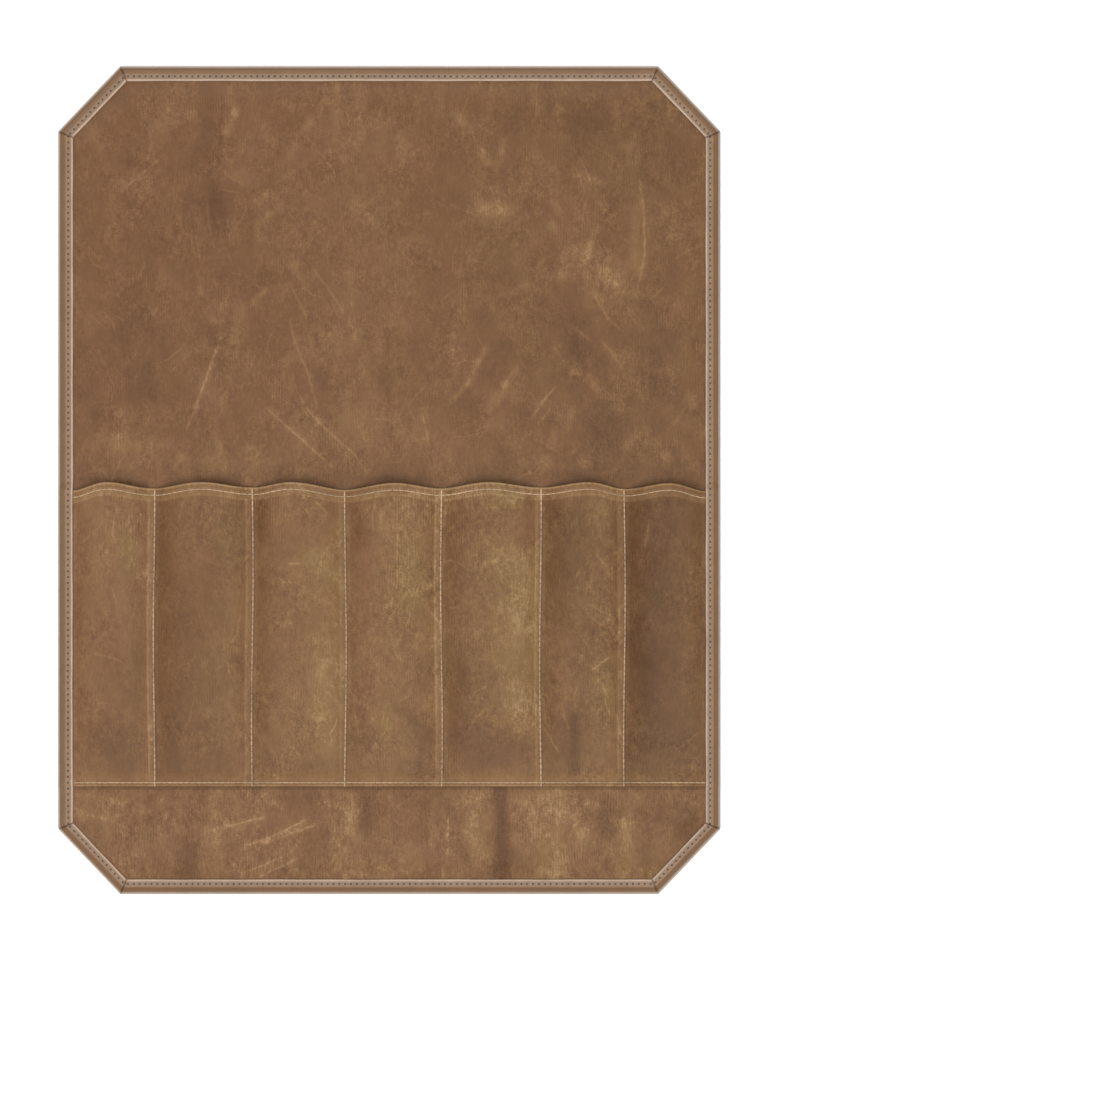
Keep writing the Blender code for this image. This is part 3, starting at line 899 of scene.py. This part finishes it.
def pocket_panel():
    """Grid of the pocket panel: columns close together at the seams, rows at the hems, with its wall."""
    tuck = ROLL_WIDTH / 2 - TUCK_INSET
    seam_columns = (SEAM_X[:, None] + np.array(LEFT_OFFSETS + RIGHT_OFFSETS) * MM).ravel()
    plain = np.arange(-tuck, tuck, COLUMN_SPACING)
    plain = plain[np.abs(plain[:, None] - SEAM_X).min(1) > 7.5 * MM]
    seam_columns = seam_columns[np.abs(seam_columns) < tuck]
    columns = np.unique(np.concatenate([plain, seam_columns, [-tuck, tuck]]))
    reach = LEVEL_MOUTH - POCKET_BOTTOM
    stops = (RIM, 12 * MM, reach - 14 * MM, reach - RIM)
    drops = spread(stops, (0.55 * MM, 2.2 * MM, 0.6 * MM))[::-1]
    x, drop = np.meshgrid(columns, drops)
    upper, wall = pocket_surface(x, drop)
    lower = upper - np.stack([0 * wall, 0 * wall, wall], -1)
    points, faces = shell(upper, lower, 3, RIM)
    flat_x, flat_drop = x.ravel(), drop.ravel()
    grid = np.arange(x.size).reshape(x.shape)
    ring = np.concatenate([grid[0, :-1], grid[:-1, -1], grid[-1, :0:-1], grid[:0:-1, 0]])
    rim = (len(points) - 2 * x.size) // len(ring)
    every_x = np.concatenate([flat_x, flat_x, np.tile(flat_x[ring], rim)])
    every_drop = np.concatenate([flat_drop, flat_drop, np.tile(flat_drop[ring], rim)])
    piece = add_piece("pocket_panel_leather", points, faces, leather("pocket_leather"))
    pocket = np.clip(np.searchsorted(SEAM_X, every_x) - 1, 0, len(ARCHES) - 1)
    own_tone, own_hue, contrast = np.array(POCKET_LOOKS).T[:, pocket]
    tone, hue = patch_tone(points, [*POCKET_PATCHES, *halos(POCKET_CREASES)])
    small = scuffs(POCKET_SCUFFS, (-238, -222), (238, -16), 11)
    weight, side = crease_field(points, [*POCKET_CREASES, *small])
    inner = smooth_step(6 * MM, 14 * MM, every_drop)
    own_tone = (own_tone + POCKET_PATCH_GAIN * tone) * (0.4 + 0.6 * inner)
    store(piece, "tone", POCKET_TONE + pocket_tone(every_x, every_drop) + own_tone)
    store(piece, "hue", POCKET_HUE + own_hue * inner + hue)
    store(piece, "nap", POCKET_NAP + 0 * every_x)
    store(piece, "contrast", contrast)
    store(piece, "crease", weight)
    store(piece, "crease_side", side)
    return piece


pockets = pocket_panel()
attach(pockets, "root")
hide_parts("pocket_panel")

# Binding
# Eight lengths of thinner leather, folded over the edges of both panels and mitred at the corners.
# The outer edge is a round roll, and the flat leg inside it is sewn through with tan thread.
BINDING_WIDTH = 11.5 * MM
BINDING_WALL = 1.2 * MM
ROLLED_BAND = 5.4 * MM
ROLL_RADIUS = 2.7 * MM
ROLL_PROUD = 0.5 * MM
ROLL_STEPS = 10
LIFT_RAMP = 6 * MM
HOLE_INSET = 8.0 * MM
HOLE_PITCH = 4.5 * MM
HOLE_LENGTH = 1.8 * MM
HOLE_WIDTH = 1.5 * MM
MITRE_WIDTH = 0.6
MITRE_SHADE = -0.42
# Painted shade in the stitch holes, as a share of their colour
HOLE_PAINTED_SHADE = -0.8
HOLE_DEPTH = -0.35
ACROSS_WANDER = 0.5
ALONG_SPACING = 1.5 * MM
SIDES = ("bottom", "bottom_right", "right", "top_right", "top", "top_left", "left", "bottom_left")

# Colour across the binding from its outer edge inwards: inset in mm and sRGB colour
COLOUR_SPAN = 12.0
BINDING_COLOURS = (
    (0.0, (176, 158, 142)),
    (1.4, (178, 158, 140)),
    (1.9, (144, 115, 94)),
    (2.5, (114, 82, 53)),
    (3.4, (126, 92, 60)),
    (4.8, (128, 93, 61)),
    (5.6, (136, 102, 73)),
    (6.4, (152, 122, 96)),
    (9.6, (153, 124, 99)),
    (10.2, (172, 143, 119)),
    (10.8, (204, 178, 156)),
    (11.5, (196, 168, 146)),
)


def outline_corners():
    """Corners of the outline, anticlockwise, each where the side of the same index starts."""
    half_x, half_y = ROLL_WIDTH / 2, ROLL_HEIGHT / 2
    inner_x, inner_y = half_x - CORNER_CUT_X, half_y - CORNER_CUT_Y
    quarter = [(inner_x, -half_y), (half_x, -inner_y), (half_x, inner_y), (inner_x, half_y)]
    opposite = [(-x, -y) for x, y in quarter]
    return np.array([opposite[3]] + quarter + opposite[:3])


def side_frame(index):
    """Start corner, direction and inward direction of one side."""
    corners = outline_corners()
    start = corners[index % len(SIDES)]
    along = corners[(index + 1) % len(SIDES)] - start
    along = along / np.hypot(*along)
    return start, along, np.array((-along[1], along[0]))


def mitre_slope(index):
    """How far a side's start moves along it for each unit of inset: the tangent of half the turn."""
    _, after, _ = side_frame(index)
    _, before, _ = side_frame(index - 1)
    return math.sqrt((1 - before @ after) / (1 + before @ after))


def binding_profile(lift):
    """Section of the folded binding as (inset, height), for a lift of its upper leg, round and closed."""
    slot_top = LEG_TOP + BACK_WALL + GAP + lift
    top = slot_top + BINDING_WALL
    middle = top / 2
    angle = np.pi * (0.5 + np.arange(ROLL_STEPS + 1) / ROLL_STEPS)
    reach = np.where(np.sin(angle) > 0, top + ROLL_PROUD - middle, middle)
    roll = np.stack([ROLL_RADIUS * (1 + np.cos(angle)), middle + reach * np.sin(angle)], -1)
    leg = [
        (BINDING_WIDTH, slot_top),
        (BINDING_WIDTH + 0.05 * MM, top - 0.6 * MM),
        (BINDING_WIDTH - 0.3 * MM, top - 0.1 * MM),
        (BINDING_WIDTH - 0.9 * MM, top + 0.05 * MM),
        (HOLE_INSET + 1.2 * MM, top),
        (HOLE_INSET + 0.4 * MM, top - 0.15 * MM),
        (HOLE_INSET - 0.4 * MM, top - 0.15 * MM),
        (HOLE_INSET - 1.2 * MM, top + 0.05 * MM),
        (ROLLED_BAND + 0.5 * MM, top - 0.1 * MM),
        (ROLLED_BAND - 0.2 * MM, top - 0.1 * MM),
        (ROLLED_BAND - 1.1 * MM, top + 0.3 * MM),
    ]
    under = [(BINDING_WIDTH, 0), (BINDING_WIDTH, BINDING_WALL), (ROLL_RADIUS, BINDING_WALL)]
    inside = [(BINDING_WALL, middle), (ROLL_RADIUS, slot_top)]
    return np.concatenate([leg, roll, under, inside])


def binding_lift(index, distance):
    """Lift of the upper leg along a side, over the pocket panel's skived edge on the left and right."""
    if SIDES[index] not in ("left", "right"):
        return 0 * distance
    start, along, _ = side_frame(index)
    y = start[1] + along[1] * distance
    mouth = SEAMS[0].mouth_y
    up = smooth_step(POCKET_BOTTOM - LIFT_RAMP, POCKET_BOTTOM, y)
    down = 1 - smooth_step(mouth, mouth + LIFT_RAMP, y)
    return (SKIVED_WALL + GAP) * up * down


def shaded(tree, colour, shade):
    """Colour times a shade of grey."""
    grey = node(tree, "ShaderNodeCombineXYZ", {0: shade, 1: shade, 2: shade}).outputs[0]
    inputs = {0: 1.0, 6: colour, 7: grey}
    return node(tree, "ShaderNodeMix", inputs, data_type="RGBA", blend_type="MULTIPLY").outputs[2]


def bell(tree, value):
    """The Gaussian exp(-value²)."""
    square = maths(tree, "MULTIPLY", value, value)
    return maths(tree, "EXPONENT", maths(tree, "MULTIPLY", square, -1.0))


def stitch_holes(tree, along, inset):
    """1 in the stitch holes: a flat-topped Gaussian of the distance from the nearest hole."""
    step = maths(tree, "DIVIDE", along, HOLE_PITCH / MM)
    step = maths(tree, "SUBTRACT", maths(tree, "FRACT", step), 0.5)
    along_hole = maths(tree, "MULTIPLY", step, 2 * HOLE_PITCH / HOLE_LENGTH)
    across_hole = maths(tree, "SUBTRACT", inset, HOLE_INSET / MM)
    across_hole = maths(tree, "DIVIDE", across_hole, HOLE_WIDTH / MM / 2)
    radius = maths(tree, "MULTIPLY", across_hole, across_hole)
    return bell(tree, maths(tree, "MULTIPLY_ADD", along_hole, along_hole, radius))


def binding_leather():
    """Leather of the binding: its colours across from the UV map, stitch holes darkened with painted shade,
    grain and bump.
    """
    material, tree, shader = new_material("binding_hide")
    place = node(tree, "ShaderNodeTexCoord").outputs["Object"]
    along, inset, _ = xyz(tree, node(tree, "ShaderNodeUVMap", uv_map="UVMap").outputs[0])
    wander = maths(tree, "MULTIPLY_ADD", noise(tree, place, 7 * MM, 2.0), ACROSS_WANDER, inset)
    stops = [(inset_mm / COLOUR_SPAN, colour) for inset_mm, colour in BINDING_COLOURS]
    base = ramp(tree, maths(tree, "DIVIDE", wander, COLOUR_SPAN), stops)
    shade = maths(tree, "MULTIPLY_ADD", noise(tree, place, 14 * MM, 4.0, 0.6), 0.35, 1.0)
    shade = maths(tree, "MULTIPLY_ADD", noise(tree, place, 1.6 * MM, 2.0), 0.30, shade)
    hole = stitch_holes(tree, along, inset)
    # painted shade: the stitch holes are darkened
    shade = maths(tree, "MULTIPLY_ADD", hole, HOLE_PAINTED_SHADE, shade)
    mitre = bell(tree, maths(tree, "DIVIDE", attribute(tree, "end"), MITRE_WIDTH))
    shade = maths(tree, "MULTIPLY", shade, maths(tree, "MULTIPLY_ADD", mitre, MITRE_SHADE, 1.0))
    tree.links.new(shaded(tree, base, shade), shader.inputs["Base Color"])
    height = maths(tree, "MULTIPLY", noise(tree, place, 1.2 * MM, 3.0), 0.18)
    height = maths(tree, "MULTIPLY_ADD", hole, HOLE_DEPTH, height)
    bump = node(tree, "ShaderNodeBump", {"Height": height, "Distance": MM, "Strength": BUMP_STRENGTH})
    tree.links.new(bump.outputs[0], shader.inputs["Normal"])
    shader.inputs["Roughness"].default_value = 0.5
    shader.inputs["Specular IOR Level"].default_value = 0.3
    return material


def write_uv(piece, uv):
    """Give a piece a UV map from one (u, v) per vertex."""
    loops = np.zeros(len(piece.data.loops), np.int32)
    piece.data.loops.foreach_get("vertex_index", loops)
    layer = piece.data.uv_layers.new(name="UVMap")
    layer.data.foreach_set("uv", uv[loops].astype(np.float32).ravel())


def binding_length(index, material):
    """One length of binding: its profile from mitre to mitre, slid along by each mitre's slope."""
    corners = outline_corners()
    start, along, inward = side_frame(index)
    length = np.hypot(*(corners[(index + 1) % len(SIDES)] - start))
    first, last = mitre_slope(index), mitre_slope(index + 1)
    near_end = np.array([0.3, 0.6, 1.0, 1.6]) * MM / length
    middle = np.linspace(0, 1, max(8, int(length / ALONG_SPACING)))
    share = np.unique(np.concatenate([middle, near_end, 1 - near_end]))
    profile = np.stack([binding_profile(lift) for lift in binding_lift(index, share * length)])
    inset, height = profile[..., 0], profile[..., 1]
    low, high = GAP / 2 + inset * first, length - GAP / 2 - inset * last
    distance = low + (high - low) * share[:, None]
    wander = 0.18 * MM * np.sin(distance * 41 + index) * np.sin(distance * 93 + 2 * index)
    inset = inset + wander * smooth_step(6 * MM, 11 * MM, inset)
    end = np.minimum(distance - low, high - distance)
    height = height - 0.4 * MM * dip(end, 0.6 * MM) * (height > LEG_TOP + BACK_WALL)
    plan = start + distance[..., None] * along + inset[..., None] * inward
    points = np.concatenate([plan, height[..., None]], -1)
    rows, columns = points.shape[:2]
    grid = np.arange(rows * columns).reshape(rows, columns)
    after = np.roll(grid, -1, 1)
    quads = np.stack([grid[:-1], grid[1:], after[1:], after[:-1]], -1).reshape(-1, 4).tolist()
    faces = quads + [grid[0].tolist(), grid[-1][::-1].tolist()]
    piece = add_piece("binding_" + SIDES[index] + "_leather", points.reshape(-1, 3), faces, material)
    write_uv(piece, np.stack([(distance - length / 2) / MM, inset / MM], -1).reshape(-1, 2))
    piece.data.set_sharp_from_angle(angle=math.radians(50))
    store(piece, "end", end.ravel() / MM)
    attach(piece, "root")
    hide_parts("binding_" + SIDES[index])
    return piece


hide = binding_leather()
bindings = [binding_length(index, hide) for index in range(len(SIDES))]

# Stitches
# Waxed thread, cream on the pocket panel and tan on the binding, sewn in a lockstitch: each stitch
# lies on the leather, and both its ends go down into a hole.
STITCH_PITCH = 4.45 * MM
STITCH_SHARE = 0.985
STITCH_SIDES = 6
HEM_THREAD = 1.0 * MM
SEAM_THREAD = 1.25 * MM
BINDING_THREAD = 0.7 * MM
HOLE_MARGIN = 0.8 * MM
THREAD_SUNK = 0.2 * MM
STRAND_HEIGHT = 0.15 * MM
FRESH_FROM = -32 * MM
FRESH_TO = -20 * MM

# Rings of one stitch: place as a share of its length, radius and lift as shares of half its width
Ring = namedtuple("Ring", "share radius lift")
STITCH_RINGS = (
    Ring(-0.5, 0.5, -0.1),
    Ring(-0.44, 0.85, 0.2),
    Ring(-0.2, 1.0, 0.5),
    Ring(0.2, 1.0, 0.5),
    Ring(0.44, 0.85, 0.2),
    Ring(0.5, 0.5, -0.1),
)


def thread(name, colour, fresh=0.0):
    """Waxed twisted thread: slanting strands, dull and bright stretches, and a fresh part at the mouth."""
    material, tree, shader = new_material(name)
    place = node(tree, "ShaderNodeTexCoord").outputs["Object"]
    along, around, _ = xyz(tree, node(tree, "ShaderNodeUVMap", uv_map="UVMap").outputs[0])
    turn = maths(tree, "MULTIPLY_ADD", along, 4.0, maths(tree, "MULTIPLY", around, 2.0))
    strand = maths(tree, "ABSOLUTE", maths(tree, "SUBTRACT", maths(tree, "FRACT", turn), 0.5))
    shade = maths(tree, "MULTIPLY_ADD", strand, 0.4, 0.84)
    shade = maths(tree, "MULTIPLY_ADD", noise(tree, place, 2.5 * MM, 2.0), 0.7, shade)
    shade = maths(tree, "MULTIPLY_ADD", noise(tree, place, 35 * MM, 2.0), 1.1, shade)
    if fresh:
        near = node(tree, "ShaderNodeMapRange", {0: xyz(tree, place)[1], 1: FRESH_FROM, 2: FRESH_TO})
        shade = maths(tree, "MULTIPLY_ADD", near.outputs[0], fresh, shade)
    tree.links.new(shaded(tree, linear(colour), shade), shader.inputs["Base Color"])
    inputs = {"Height": strand, "Distance": STRAND_HEIGHT, "Strength": BUMP_STRENGTH}
    bump = node(tree, "ShaderNodeBump", inputs)
    tree.links.new(bump.outputs[0], shader.inputs["Normal"])
    shader.inputs["Roughness"].default_value = 0.6
    shader.inputs["Specular IOR Level"].default_value = 0.3
    return material


def stitches(name, starts, ends, width, material):
    """Row of stitches from start points to end points, each a bowed tube with closed, sunken ends.

    Point k of ring j is the place at share t along, plus width/2 × radius × (cos, sin) of its angle
    across and up, plus width/2 × lift upwards.
    """
    run = ends - starts
    across = np.stack([-run[:, 1], run[:, 0], 0 * run[:, 0]], -1)
    across /= np.linalg.norm(across, axis=1, keepdims=True)
    share, radius, lift = np.array(STITCH_RINGS).T
    angle = 2 * np.pi * np.arange(STITCH_SIDES) / STITCH_SIDES
    middle = (starts + ends) / 2
    centre = middle[:, None, None] + run[:, None, None] * share[:, None, None]
    size = width / 2 * radius[:, None, None]
    wide = across[:, None, None] * (size * np.cos(angle)[None, :, None])[None]
    tall = size * np.sin(angle)[None, :, None] + width / 2 * lift[:, None, None]
    points = centre + wide
    points[..., 2] += tall[..., 0]
    count, rings, around = points.shape[:3]
    grid = np.arange(count * rings * around).reshape(count, rings, around)
    after = np.roll(grid, -1, 2)
    quads = np.stack([grid[:, :-1], grid[:, 1:], after[:, 1:], after[:, :-1]], -1).reshape(-1, 4).tolist()
    faces = quads + grid[:, 0].tolist() + grid[:, -1, ::-1].tolist()
    piece = add_piece(name, points.reshape(-1, 3), faces, material)
    uv = np.stack(np.broadcast_arrays(share[:, None] + 0.5, (np.arange(around) / around)[None]), -1)
    write_uv(piece, np.tile(uv.reshape(-1, 2), (count, 1)))
    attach(piece, "root")
    return piece


cream = thread("cream_thread", (200, 169, 134))
seam_cream = thread("seam_thread", (198, 167, 134), 0.28)
tan = thread("tan_thread", (184, 155, 128))

edges = np.arange(-242 * MM, 242 * MM, STITCH_PITCH)
ends_x = edges + STITCH_PITCH * STITCH_SHARE
starts, _ = pocket_surface(edges, MOUTH_STITCH + 0 * edges)
ends, _ = pocket_surface(ends_x, MOUTH_STITCH + 0 * edges)
stitches("mouth_stitches", starts, ends, HEM_THREAD, cream)

foot = LEVEL_MOUTH - POCKET_BOTTOM - BOTTOM_STITCH
starts, _ = pocket_surface(edges, foot + 0 * edges)
ends, _ = pocket_surface(ends_x, foot + 0 * edges)
stitches("bottom_stitches", starts, ends, HEM_THREAD, cream)

drops = np.arange(1.0 * MM, LEVEL_MOUTH - POCKET_BOTTOM - 2 * MM, STITCH_PITCH)
for number, seam in enumerate(SEAMS[1:-1], 1):
    line = seam.x + 0 * drops
    starts, _ = pocket_surface(line, drops)
    ends, _ = pocket_surface(line, drops + STITCH_PITCH * STITCH_SHARE)
    name = "seam_stitches_" + str(number)
    stitches(name, starts, ends, SEAM_THREAD, seam_cream)

for index, side in enumerate(SIDES):
    corners = outline_corners()
    start, along, inward = side_frame(index)
    length = np.hypot(*(corners[(index + 1) % len(SIDES)] - start))
    count = int((length / 2 - 6 * MM) / HOLE_PITCH)
    holes = length / 2 + (np.arange(-count, count) + 0.5) * HOLE_PITCH
    rise = LEG_TOP + BACK_WALL + GAP + BINDING_WALL - THREAD_SUNK
    starts, ends = [
        np.column_stack([
            start + place[:, None] * along + HOLE_INSET * inward,
            rise + binding_lift(index, place),
        ])
        for place in (holes + HOLE_MARGIN, holes + HOLE_PITCH - HOLE_MARGIN)
    ]
    piece = stitches("binding_stitches_" + side, starts, ends, BINDING_THREAD, tan)

# Floor, light and camera
# A plain white table, one broad soft light from the right and below, and even light all round.
FLOOR_SIZE = 6
FLOOR_DROP = 0.2 * MM
LENS = 100
FRAME_WIDTH = 843.7 * MM
FRAME_CENTRE = (123.2 * MM, -53.5 * MM)
SENSOR = 36
ROLL_PLANE = 3 * MM
SKY_LEVEL = 1.25
SUN_LEVEL = 1.9
SUN_ANGLE = math.radians(40)
SUN_FROM = Vector((0.1, -0.38, 1.0))

table, _, table_shader = new_material("white_table")
table_shader.inputs["Base Color"].default_value = (0.8, 0.8, 0.8, 1)
table_shader.inputs["Roughness"].default_value = 0.9
table_shader.inputs["Specular IOR Level"].default_value = 0.0
floor_corners = np.array([(-1, -1), (1, -1), (1, 1), (-1, 1)]) * FLOOR_SIZE
floor_points = np.column_stack([floor_corners, np.full(4, -FLOOR_DROP)])
floor = add_piece("floor", floor_points, [(0, 1, 2, 3)], table)

world = bpy.data.worlds.new("studio")
world.use_nodes = True
world.node_tree.nodes["Background"].inputs["Color"].default_value = (1, 1, 1, 1)
world.node_tree.nodes["Background"].inputs["Strength"].default_value = SKY_LEVEL
bpy.context.scene.world = world

sun = bpy.data.lights.new("soft_light", "SUN")
sun.energy = SUN_LEVEL
sun.angle = SUN_ANGLE
lamp = bpy.data.objects.new("soft_light", sun)
lamp.rotation_euler = SUN_FROM.to_track_quat("Z", "Y").to_euler()
bpy.context.scene.collection.objects.link(lamp)

lens = bpy.data.cameras.new("camera")
lens.lens = LENS
lens.sensor_width = SENSOR
lens.clip_end = 100
camera = bpy.data.objects.new("camera", lens)
camera.location = (*FRAME_CENTRE, FRAME_WIDTH * LENS / SENSOR + ROLL_PLANE)
bpy.context.scene.collection.objects.link(camera)
bpy.context.scene.camera = camera
bpy.context.scene.view_settings.view_transform = "Standard"
